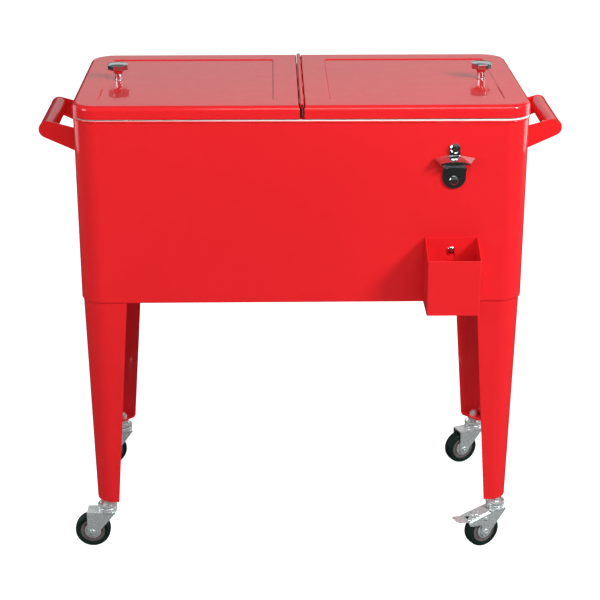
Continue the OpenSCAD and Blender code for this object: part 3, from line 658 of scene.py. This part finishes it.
def tub():
    """The lining: a rim over the wall's top edge, whose white face showing above the wall is a painted
    highlight on the bead, a filleted floor, and a seat round the drain.
    """
    half_x, half_y, corner, wall, floor = 347.0, 170.0, 22.0, 3.0, 500.0
    # the rim's height over the wall sets the width of its pale line, a painted highlight on the bead
    rim_z, rim_t = SHELL_TOP - 1.2, BEAD_HIGHLIGHT_RIM + 1.2
    fillet = 10.0

    def ring(inset, z):
        r = max(corner - inset, 4)
        if inset < -corner:
            r = 39.0
        outline = rounded_outline(inset - half_x, half_x - inset, inset - half_y,
                                  half_y - inset, (r,) * 4)
        return [(x, y, z) for x, y in outline]

    def rim(inset, z):
        r = WALL_R + 0.4 - inset
        hx, hy = WALL_X + 0.4 - inset, WALL_Y + 0.4 - inset
        outline = rounded_outline(-hx, hx, -hy, hy, (r,) * 4)
        return [(x, y, z) for x, y in outline]

    def hole(r, z):
        return [(x, y, z) for x, y in rounded_outline(-r, r, -r, r, (r,) * 4)]

    out, seat = floor - wall, 3.3
    outside = [hole(10.3, out - seat), hole(21.4, out - seat), hole(21.4, out),
               ring(fillet - wall, out)]
    outside += [ring(-wall + fillet * (1 - math.sin(math.radians(a))),
                     out + fillet * (1 - math.cos(math.radians(a)))) for a in range(15, 91, 15)]
    outside += [ring(-wall, rim_z), rim(0.4, rim_z), rim(0, rim_z + 0.5), rim(0, rim_z + rim_t - 0.5),
                rim(0.5, rim_z + rim_t), ring(-2.2, rim_z + rim_t)]
    inside = [ring(-2.2 + 2.2 * math.sin(math.radians(a)),
                   rim_z + rim_t - 2.2 * (1 - math.cos(math.radians(a)))) for a in (30, 60, 90)]
    inside += [ring(fillet * (1 - math.cos(math.radians(a))),
                    floor + fillet * (1 - math.sin(math.radians(a)))) for a in range(0, 91, 15)]
    inside += [hole(19.4, floor), hole(18.7, floor - 0.25), hole(18.4, floor - 0.9),
               hole(18.4, floor - seat), hole(10.3, floor - seat)]
    return Shape().loft(outside + inside, closed=True)


# ---------------------------------------------------------------- handles

BAR_X, BAR_Z, BAR_HALF = 421.0, 737.0, 82.45
ARM_OUT, ARM_T, TAB_W, TAB_T = 85.0, 2.5, 24.0, 2.0
ROOT_LOW, ROOT_HIGH, ROOT_X = 697.0, 737.5, WALL_X + 0.2


def tangent_angle(px, py, cx, cy, r, side):
    toward = math.degrees(math.atan2(py - cy, px - cx))
    return toward + side * math.degrees(math.acos(r / math.hypot(px - cx, py - cy)))


def handle_arms():
    end_r = 14.5
    low = tangent_angle(WALL_X, ROOT_LOW, BAR_X, BAR_Z, end_r, 1)
    high = tangent_angle(WALL_X, ROOT_HIGH, BAR_X, BAR_Z, end_r, -1)
    outline = [(ROOT_X, ROOT_HIGH), (ROOT_X, ROOT_LOW)]
    outline += arc(BAR_X, BAR_Z, end_r, low, high, 28)
    shape = Shape()
    tab = rounded_outline(ARM_OUT - ARM_T - TAB_W, ARM_OUT - 0.4, ROOT_LOW + 1, ROOT_HIGH - 1,
                          (0.2, 0.2, 5, 5), 6)
    for side in (-1, 1):
        arm = Shape().prism(outline, ARM_OUT - ARM_T, ARM_OUT, axis="y")
        arm.fuse(Shape().prism(tab, ROOT_X, ROOT_X + TAB_T, axis="x"))
        shape.add(arm, Matrix.Identity(4) if side > 0 else MIRROR_Y)
    return shape


def handle_bar():
    r, inner, half, e = 14.0, 12.5, BAR_HALF, 0.4
    profile = [(inner, -half), (r - e, -half), (r, -half + e), (r, half - e), (r - e, half),
               (inner, half)]
    tube = Shape().lathe(profile, 64, closed=True)
    return Shape().add(tube, Matrix.Translation((BAR_X, 0, BAR_Z)) @ ALONG_Y)


def handle_screws():
    shape = Shape()
    for side in (-1, 1):
        for y in (-70.5, 70.5):
            for z in (707, 728):
                place_at = Matrix.Translation((side * (ROOT_X + TAB_T + 0.05), y, z))
                spin = turned(17 * z + 30 * y)
                turn = TO_RIGHT if side > 0 else TO_LEFT
                shape.add(cross_screw(4.5, 2.6, 2.1, 13), place_at @ turn @ spin)
    return shape


# ---------------------------------------------------------------- legs

LEG_TOP, LEG_FOOT = (366.0, 190.0, 467.6), (359.0, 180.0, 91.0)
# widths, bend radii and plate cuts are given at the top and at the foot
LEG_W, LEG_R, LEG_T, LEG_EASE = (75.0, 40.0), (40.0, 31.0), 1.5, 0.4
PLATE_CUT, TOP_PLATE_DROP, FOOT_PLATE_LIFT = (32, 12), 2.9, 0.4


def leg():
    """A tapered steel angle in the corner at the origin, open to +X and +Y, with a plate at each end."""
    rings = []
    steps = 10
    for i in range(steps + 1):
        t = i / steps
        w = LEG_W[0] + (LEG_W[1] - LEG_W[0]) * t
        r = LEG_R[0] + (LEG_R[1] - LEG_R[0]) * t
        ox, oy, z = [a + (b - a) * t for a, b in zip(LEG_TOP, LEG_FOOT)]
        ox, oy = LEG_TOP[0] - ox, LEG_TOP[1] - oy
        edge = [(0, w - LEG_EASE), (LEG_EASE, w), (LEG_T - LEG_EASE, w), (LEG_T, w - LEG_EASE)]
        section = (arc(r, r, r, 270, 180, 16) + edge + arc(r, r, r - LEG_T, 180, 270, 16)
                   + [(y, x) for x, y in reversed(edge)])
        rings.append([(ox + x, oy + y, z) for x, y in section])
    shape = Shape().loft(rings)
    dx, dy = LEG_TOP[0] - LEG_FOOT[0], LEG_TOP[1] - LEG_FOOT[1]
    shape.add(leg_plate(LEG_W[1], LEG_R[1], PLATE_CUT[1], LEG_FOOT[2] + FOOT_PLATE_LIFT),
              Matrix.Translation((dx, dy, 0)))
    shape.add(leg_plate(LEG_W[0], LEG_R[0], PLATE_CUT[0], LEG_TOP[2] - TOP_PLATE_DROP))
    return shape


def leg_plate(w, r, cut, low):
    """A plate inside the leg's bend, with its free corner cut off from cut on both axes."""
    inset = 0.7
    outline = arc(r, r, r - inset, 270, 180, 16)
    outline += [(inset, w - 1), (cut, w - 1), (w - 1, cut), (w - 1, inset)]
    return Shape().prism(outline, low, low + 2.5)


def leg_matrix(sx, sy):
    """Takes a leg's own corner frame to the chest's corner on side sx, sy."""
    flip = Matrix.Diagonal((-sx, -sy, 1, 1))
    return Matrix.Translation((sx * LEG_TOP[0], sy * LEG_TOP[1], 0)) @ flip


def leg_bolts():
    shape = Shape()
    low, flats, nut_low, nut_high, end = LEG_TOP[2] - TOP_PLATE_DROP, 9.9, 471.3, 476.3, 479.5
    for sx in (-1, 1):
        for sy in (-1, 1):
            for far_x, far_y in ((58, 18), (18, 58), (26, 26)):
                at = Matrix.Translation((sx * (LEG_TOP[0] - far_x), sy * (LEG_TOP[1] - far_y), 0))
                shape.add(hex_nut(flats, low - 4, low - 0.02), at)
                shape.add(Shape().lathe([(0, low - 0.2), (3, low - 0.2), (3, end - 1.5), (2.6, end),
                                         (0, end)], 20), at)
                shape.add(hex_nut(flats, nut_low, nut_high, 3.05), at)
    return shape


# ---------------------------------------------------------------- opener and cap catcher

OPENER = (245.5, -191.6, 732.0)


def opener():
    """A pressed opener: back plate, fan-shaped hood, and a tooth with a curved front below it."""
    shape = Shape()
    plate = (arc(0, 0, 8.7, 0, 180, 20) + [(-8.7, -20)] + arc(-4, -36, 15, 150, 180, 5)
             + arc(0, -48, 19, 180, 360, 36) + arc(4, -36, 15, 0, 30, 5) + [(8.7, -20)])
    shape.prism(plate, -3.0, 0.0, axis="y")
    rows, cols = 12, 36
    thick = 3.0

    def edge(u):
        """The hood's lower edge: a tip at the wall and a front corner on each side, hollow between."""
        side, a = math.copysign(1, u), abs(u)
        corner, corner_x = 0.62, 23.5
        if a > corner:
            t = (a - corner) / (1 - corner)
            return (side * (corner_x + 9.5 * t), -21.0 + 17.6 * t, -20.6 + 4.0 * t)
        t = a / corner
        return (side * corner_x * t, -17.0 - 4.0 * t ** 2, -18.2 - 2.4 * t ** 2)

    def surface(v, u):
        ex, ey, ez = edge(u)
        x0, y0, z0 = 8.2 * u, -2.4, -11.0 - 0.8 * u * u
        bow = 1.0 - (1.0 - v) ** 1.5
        return Vector((x0 + (ex - x0) * (0.4 * v + 0.6 * bow), y0 + (ey - y0) * v,
                       z0 + (ez - z0) * v))

    grid = [[surface(i / rows, -1 + 2 * j / cols) for j in range(cols + 1)]
            for i in range(rows + 1)]
    outer = [shape.verts(row) for row in grid]
    inner = [shape.verts([p + Vector((0, min(thick * 0.5, -0.4 - p.y), -thick)) for p in row])
             for row in grid]
    for i in range(rows):
        for j in range(cols):
            shape.face((outer[i][j], outer[i][j + 1], outer[i + 1][j + 1], outer[i + 1][j]))
            shape.face((inner[i + 1][j], inner[i + 1][j + 1], inner[i][j + 1], inner[i][j]))
    for j in range(cols):
        shape.face((outer[rows][j], outer[rows][j + 1], inner[rows][j + 1], inner[rows][j]))
        shape.face((outer[0][j + 1], outer[0][j], inner[0][j], inner[0][j + 1]))
    for i in range(rows):
        shape.face((outer[i + 1][0], outer[i][0], inner[i][0], inner[i + 1][0])[::-1])
        shape.face((outer[i][cols], outer[i + 1][cols], inner[i + 1][cols], inner[i][cols])[::-1])
    half, steps = 18.6, 24
    front = [(half * (-1 + 2 * k / steps), -8.0 - 6.5 * (-1 + 2 * k / steps) ** 2)
             for k in range(steps + 1)]
    tooth = front + [(half, -2.5), (-half, -2.5)]
    shape.prism(tooth, -33.4, -30.4)
    return Shape().add(shape, Matrix.Translation(OPENER))


def opener_screws():
    shape = Shape()
    for drop, radius, turn in ((-0.6, 8.9, 20), (53.5, 7.5, 50)):
        at = Matrix.Translation((OPENER[0], OPENER[1] - 3.05, OPENER[2] - drop))
        shape.add(facet_screw(radius), at @ TO_FRONT @ turned(turn))
    return shape


def facet_screw(radius):
    """A tall domed head ground into flats, with a cross recess, and a shank behind."""
    steps = [(radius * 0.98, 0), (radius, 0.7), (radius * 0.93, 2.0), (radius * 0.74, 3.4),
             (radius * 0.45, 4.3), (radius * 0.2, 4.6)]
    shape = Shape().loft([polygon(r, z, 12) for r, z in steps])
    arm, width = radius * 0.42, radius * 0.11
    shape.cut(Shape().box((-arm, -width, 2.6), (arm, width, 6)))
    shape.cut(Shape().box((-width, -arm, 2.6), (width, arm, 6)))
    return shape.add(Shape().lathe([(0, -14), (2.2, -14), (2.2, 0.2), (0, 0.2)], 20))


CATCHER_X, CATCHER_HALF = 244.5, 43.25
CATCHER_BACK, CATCHER_FRONT = -191.9, -254.9
CATCHER_LOW, CATCHER_FRONT_Z, CATCHER_BACK_Z, CATCHER_SCREW_Z = 467.0, 561.0, 581.0, 559.5


def catcher():
    """A folded sheet box, open on top, with sides that slope up to the wall and a keyhole."""
    fold, slope_end = 2.2, CATCHER_BACK - 4

    def rim_z(y):
        t = (slope_end - y) / (slope_end - CATCHER_FRONT)
        return CATCHER_BACK_Z + (CATCHER_FRONT_Z - CATCHER_BACK_Z) * min(max(t, 0), 1)

    def ring(inset, z=None, drop=0.0):
        r = max(fold - inset, 0.6)
        outline = rounded_outline(inset - CATCHER_HALF, CATCHER_HALF - inset,
                                  CATCHER_FRONT + inset, CATCHER_BACK - inset, (r,) * 4, 5)
        return [(x, y, (rim_z(y) - drop) if z is None else z) for x, y in split_sides(outline)]

    def split_sides(outline):
        """Adds points where the slope of the sides stops, on both side walls."""
        out = []
        for a, b in zip(outline, outline[1:] + outline[:1]):
            out.append(a)
            if (a[1] - slope_end) * (b[1] - slope_end) < 0 and abs(a[1] - b[1]) > 20:
                t = (slope_end - a[1]) / (b[1] - a[1])
                out.append((a[0] + (b[0] - a[0]) * t, slope_end))
        return out

    low = CATCHER_LOW
    outer = [ring(1.4, low), ring(0.5, low + 0.35), ring(0, low + 1.4), ring(0, drop=0.3)]
    lip = [ring(0.3), ring(SHEET - 0.3)]
    inner = [ring(SHEET, drop=0.3), ring(SHEET, low + 2.4), ring(SHEET + 1.2, low + SHEET)]
    shape = Shape().loft(outer + lip + inner)
    hole_z = CATCHER_SCREW_Z - 9.8
    keyhole = arc(0, CATCHER_SCREW_Z, 2.3, 0, 180, 12) + arc(0, hole_z, 7.2, 109, 431, 40)
    shape.cut(Shape().prism(keyhole, CATCHER_BACK - 3, CATCHER_BACK + 1, axis="y"))
    return Shape().add(shape, Matrix.Translation((CATCHER_X, 0, 0)))


def catcher_screw():
    at = Matrix.Translation((CATCHER_X, -193.4, CATCHER_SCREW_Z))
    return Shape().add(cross_screw(6.2, 3.0, 2.2, 14), at @ TO_FRONT @ turned(25))


# ---------------------------------------------------------------- drain


def drain_fitting():
    low, floor = 452.0, 496.7
    profile = [(6.5, low), (9.4, low), (10, low + 0.6), (10, floor + 0.05), (17.2, floor + 0.05),
               (18, floor + 0.8), (17.6, floor + 2.2), (16, floor + 3.0), (9.5, floor + 3.05),
               (7.6, floor + 2.4), (6.5, floor + 0.6)]
    return Shape().lathe(profile, 56, closed=True)


def drain_nut():
    return hex_nut(29.4, 463.1, 469.1, 10.2, 1.0)


def drain_cap():
    """A screw cap with a ribbed grip."""
    low, high, points = 449.0, 461.0, 96

    def ring(r, z, rib=0.0):
        """A ring whose second and third of every four points stand out by rib."""
        out = []
        for i in range(points):
            a = 2 * math.pi * i / points
            far = r + rib * (i % 4 in (1, 2))
            out.append((far * math.cos(a), far * math.sin(a), z))
        return out

    return Shape().loft([ring(12.2, low), ring(13.0, low + 0.7, 0.5), ring(13.0, high - 0.6, 0.5),
                         ring(12.6, high), ring(10.4, high), ring(10.25, high - 0.5),
                         ring(10.25, low + 2.8)])


# ---------------------------------------------------------------- casters

CASTER_X, CASTER_Y, TRAIL, AXLE_Z = 342.0, 163.0, 27.0, 31.0
CROWN_Z, CHEEK_OUT, CHEEK_T = 66.0, 14.7, 2.0
CASTERS = {"front_left": (-1, -1, 0, False), "front_right": (1, -1, 27, True),
           "rear_left": (-1, 1, 20, False), "rear_right": (1, 1, 24, False)}


def caster_matrix(name):
    sx, sy, turn, _ = CASTERS[name]
    return Matrix.Translation((sx * CASTER_X, sy * CASTER_Y, 0)) @ turned(turn)


def at_all_casters(shape):
    out = Shape()
    for name in CASTERS:
        out.add(shape, caster_matrix(name))
    return out


def stem():
    shape = Shape()
    shape.lathe([(0, 63.9), (6.1, 63.9), (6.5, 64.3), (6.5, 65.9), (4, 65.9), (4, 102.9),
                 (3.4, 103.5), (0, 103.5)], 32)
    shape.add(hex_nut(12.1, 78.8, 90.95, 0, 0.8))
    return shape


def raceway():
    """The fixed upper ring of the swivel: a rounded channel, open on top."""
    profile = [(4.1, 76.6), (15.4, 76.6), (16.4, 76.9), (17, 77.8), (17, 80.4), (16.6, 81.5),
               (15.6, 82), (14.4, 81.8), (13.4, 80.8), (12.4, 79.4), (11, 78.7), (4.1, 78.7)]
    return Shape().lathe(profile, 56, closed=True)


def fork(braked):
    front = tangent_angle(14, CROWN_Z, -TRAIL, AXLE_Z, 8.5, -1)
    back = -TRAIL - 8.5
    outline = [(14, CROWN_Z + 0.5)] + arc(-TRAIL, AXLE_Z, 8.5, front, -180, 24)
    if braked:
        outline += arc(back - 3, 43.2, 3, 0, 80, 5)
        outline += [(-55, 47.6), (-58.5, 48.8), (-61.2, 51.2), (-62, 54.0), (-61.2, 55.7),
                    (-12, 68.3)]
    else:
        outline += [(back, CROWN_Z + 2.3), (back + 0.6, CROWN_Z + 2.5), (12, CROWN_Z + 2.5)]
    shape = Shape()
    for low in (-CHEEK_OUT, CHEEK_OUT - CHEEK_T):
        shape.prism(outline, low, low + CHEEK_T, axis="y")
    crown_back = -16 if braked else back
    crown = Shape().box((crown_back, -CHEEK_OUT, CROWN_Z), (14, CHEEK_OUT, CROWN_Z + 2.5))
    shape.fuse(crown)
    race = [(4.1, CROWN_Z + 0.4), (15.4, CROWN_Z + 0.4), (16.2, CROWN_Z + 0.8),
            (16.5, CROWN_Z + 2.2), (16.5, 70.4), (15.6, 71.2), (15.6, 72.0), (16.5, 72.8),
            (16.5, 74.6), (15.9, 75.5), (14.9, 75.9), (8.6, 75.9), (8, 75.4), (8, 69.0), (4.1, 69.0)]
    shape.add(Shape().lathe(race, 56, closed=True))
    return shape


def axle():
    """The wheel bolt with its head and nut, and the two thread guards beside the wheel."""
    end = CHEEK_OUT + 0.2
    shape = Shape()
    shape.lathe([(0, -end), (3, -end), (3, end + 3.4), (2.4, end + 4.0), (0, end + 4.0)], 24)
    shape.add(hex_nut(8.3, end, end + 2.6))
    head = cross_screw(5.4, 2.2, 2.9, 1)
    shape.add(head, Matrix.Translation((0, 0, -end)) @ Matrix.Rotation(math.pi, 4, "X"))
    guard = [(3.02, 9.4), (14.0, 9.4), (14.4, 9.7), (14.4, 10.4), (13.6, 11.3), (10.5, 12.0),
             (3.02, 12.0)]
    shape.add(Shape().lathe(guard, 48, closed=True))
    shape.add(Shape().lathe([(r, -z) for r, z in guard], 48, closed=True))
    return Shape().add(shape, wheel_place())


def tyre():
    r, inner = 31.0, 21.9
    side = [(inner, -9.2), (inner + 0.4, -9.9), (23.4, -10.1), (24.6, -9.9), (26.2, -10.3),
            (27.4, -10.5), (28.6, -10.1), (29.6, -9.1), (30.4, -7.4), (30.85, -5.2), (r, -3.0)]
    profile = side + [(r, 0)] + [(a, -b) for a, b in reversed(side)]
    return Shape().add(Shape().lathe(profile, 96, closed=True), wheel_place())


def hub():
    ring = [(3.05, -8.2), (14.6, -8.2), (15.4, -8.4), (16.6, -9.0), (18.4, -9.35), (20.4, -9.35),
            (21.4, -9.0), (21.9, -8.4)]
    profile = ring + [(a, -b) for a, b in reversed(ring)]
    return Shape().add(Shape().lathe(profile, 72, closed=True), wheel_place())


def wheel_place():
    return Matrix.Translation((-TRAIL, 0, AXLE_Z)) @ ALONG_Y


def brake():
    """The pedal: a pressed tread with a boss and a window, a turned-up tab, side arms and rivets."""
    side_in, side_t = 10.9, 1.5
    shape = Shape()
    arm = [(-18.5, 69.1), (-64.6, 60.3), (-65, 59), (-65, 57.4), (-63, 56), (-34, 52), (-22, 52),
           (-19, 54)]
    for low in (-side_in - side_t, side_in):
        shape.prism(arm, low, low + side_t, axis="y")
    tread = [(-18.5, 67.5), (-18.5, 69.3), (-62.5, 60.95), (-64.8, 59.9), (-66.4, 59.2),
             (-68.2, 59.6), (-70, 60.4), (-82.5, 62.3), (-84, 62.3), (-84, 60.9), (-82.5, 60.6),
             (-69.5, 58.5), (-67.4, 57.5), (-65.6, 57.4), (-63.6, 58.2), (-62.3, 59.1)]
    plate = Shape().prism(tread, -side_in - side_t, side_in + side_t, axis="y")
    corner = 7.0
    tab = rounded_outline(-84.5, 0, -side_in - side_t, side_in + side_t,
                          (0.1, 0.1, corner, corner), 10)
    trim = Shape().prism(rounded_outline(-110, -66, -30, 30, (0.1,) * 4, 2), 40, 90)
    trim.cut(Shape().prism(tab, 38, 92))
    plate.cut(trim)
    window = [(-52.5, 0), (-61.6, 6.6), (-61.6, -6.6)]
    plate.cut(Shape().prism(window, 50, 80))
    shape.add(plate)
    slope = math.degrees(math.atan2(8.35, 44))
    boss = Shape().lathe([(0, -0.6), (7.9, -0.6), (7.4, 0.7), (6.0, 1.7), (3.5, 2.2), (0, 2.3)], 36)
    shape.add(boss, Matrix.Translation((-42, 0, 64.9)) @ Matrix.Rotation(math.radians(-slope), 4, "Y"))
    for side in (-1, 1):
        rivet = Shape().lathe([(0, 0), (2.5, 0), (2.5, 4.8), (3.4, 4.9), (3.2, 5.7), (2.2, 6.3),
                               (0, 6.5)], 24)
        at = Matrix.Translation((-TRAIL, side * side_in, 57)) @ (ALONG_Y if side > 0 else TO_FRONT)
        shape.add(rivet, at)
    return shape


# ---------------------------------------------------------------- making the pieces


def make_lid(side, word):
    flip = Matrix.Identity(4) if side > 0 else MIRROR_X
    body = "lid_" + word

    def make(shape, name, nodes, slot, **kw):
        piece(Shape().add(shape, flip), name, body, nodes, slot, **kw)

    make(lid_skin(), body + "_cover", body + "_skin", RED, sharp=50)
    make(lid_pan(), body + "_lining", body + "_pan", WHITE, sharp=50)
    make(lid_leaves(2 if side > 0 else 1), body + "_barrels", body + "_hinge", RED, sharp=40)
    make(knob(), "knob_%s_head" % word, "knob_" + word, CHROME, bevel=0.35, sharp=20)


make_lid(-1, "left")
make_lid(1, "right")
piece(crossbar(), "crossbar", "chest", "hinge_crossbar", RED, sharp=40)
piece(hinge_pin(), "hinge_rod", "chest", "hinge_pin", DARK, sharp=40)
piece(shell(), "chest_walls", "chest", "outer_shell", RED, sharp=50)
piece(tub(), "tub", "chest", "liner_tub", WHITE, sharp=50)
for turn, word in ((MIRROR_X, "left"), (Matrix.Identity(4), "right")):
    piece(Shape().add(handle_arms(), turn), "handle_%s_plates" % word, "chest",
          "handle_%s_arms" % word, RED, bevel=0.5, sharp=30)
    piece(Shape().add(handle_bar(), turn), "handle_%s_tube" % word, "chest",
          "handle_%s_bar" % word, RED, sharp=40)
piece(handle_screws(), "handle_fixings", "chest", "handle_screws", CHROME, sharp=35)
for sx, sy, word in ((-1, -1, "front_left"), (1, -1, "front_right"), (-1, 1, "rear_left"),
                     (1, 1, "rear_right")):
    piece(Shape().add(leg(), leg_matrix(sx, sy)), "leg_%s_angle" % word, "chest",
          "leg_" + word, RED, sharp=35)
piece(leg_bolts(), "leg_fixings", "chest", "leg_bolts", ZINC, sharp=35)
piece(opener(), "opener", "chest", "bottle_opener", CHROME, bevel=0.8, sharp=40, segments=3)
piece(opener_screws(), "opener_fixings", "chest", "opener_screws", CHROME, sharp=12)
piece(catcher(), "catcher_box", "catcher", "cap_catcher", RED, sharp=40)
piece(catcher_screw(), "catcher_fixing", "chest", "catcher_screw", CHROME, sharp=35)
piece(drain_fitting(), "drain_spout", "chest", "drain_fitting", WHITE, sharp=40)
piece(drain_nut(), "drain_ring", "chest", "drain_nut", WHITE, sharp=35)
piece(drain_cap(), "drain_stopper", "drain_plug", "drain_cap", WHITE, sharp=30)
piece(at_all_casters(stem()), "caster_bolts", "chest", "caster_stems", ZINC, sharp=35)
piece(at_all_casters(raceway()), "caster_top_rings", "chest", "caster_raceways", ZINC, sharp=35)
for word, (sx, sy, turn, braked) in CASTERS.items():
    at = caster_matrix(word)
    piece(Shape().add(fork(braked), at), "caster_fork_" + word, "caster_" + word, "fork_" + word,
          ZINC, bevel=0.45, sharp=35)
    piece(Shape().add(axle(), at), "caster_axle_" + word, "caster_" + word, "axle_" + word,
          ZINC, sharp=35)
    piece(Shape().add(tyre(), at), "caster_tyre_" + word, "wheel_" + word, "tyre_" + word,
          RUBBER, sharp=50)
    piece(Shape().add(hub(), at), "caster_hub_" + word, "wheel_" + word, "hub_" + word,
          GREY, sharp=50)
    if braked:
        piece(Shape().add(brake(), at), "caster_pedal_" + word, "pedal_" + word,
              "brake_" + word, ZINC, bevel=0.35, sharp=35)

# ---------------------------------------------------------------- CAD nodes that stay

KEPT = {"bottom_pan": ZINC, "insulation_foam": FOAM, "crossbar_screws": ZINC,
        "caster_nuts": ZINC, "lid_left_foam": FOAM, "lid_right_foam": FOAM,
        "knob_left_screw": ZINC, "knob_right_screw": ZINC}
for name, slot in KEPT.items():
    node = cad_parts[name]
    node.data.materials.clear()
    node.data.materials.append(MATERIALS[slot])

bpy.context.scene.view_settings.view_transform = "Standard"
bpy.context.scene.view_settings.look = "None"
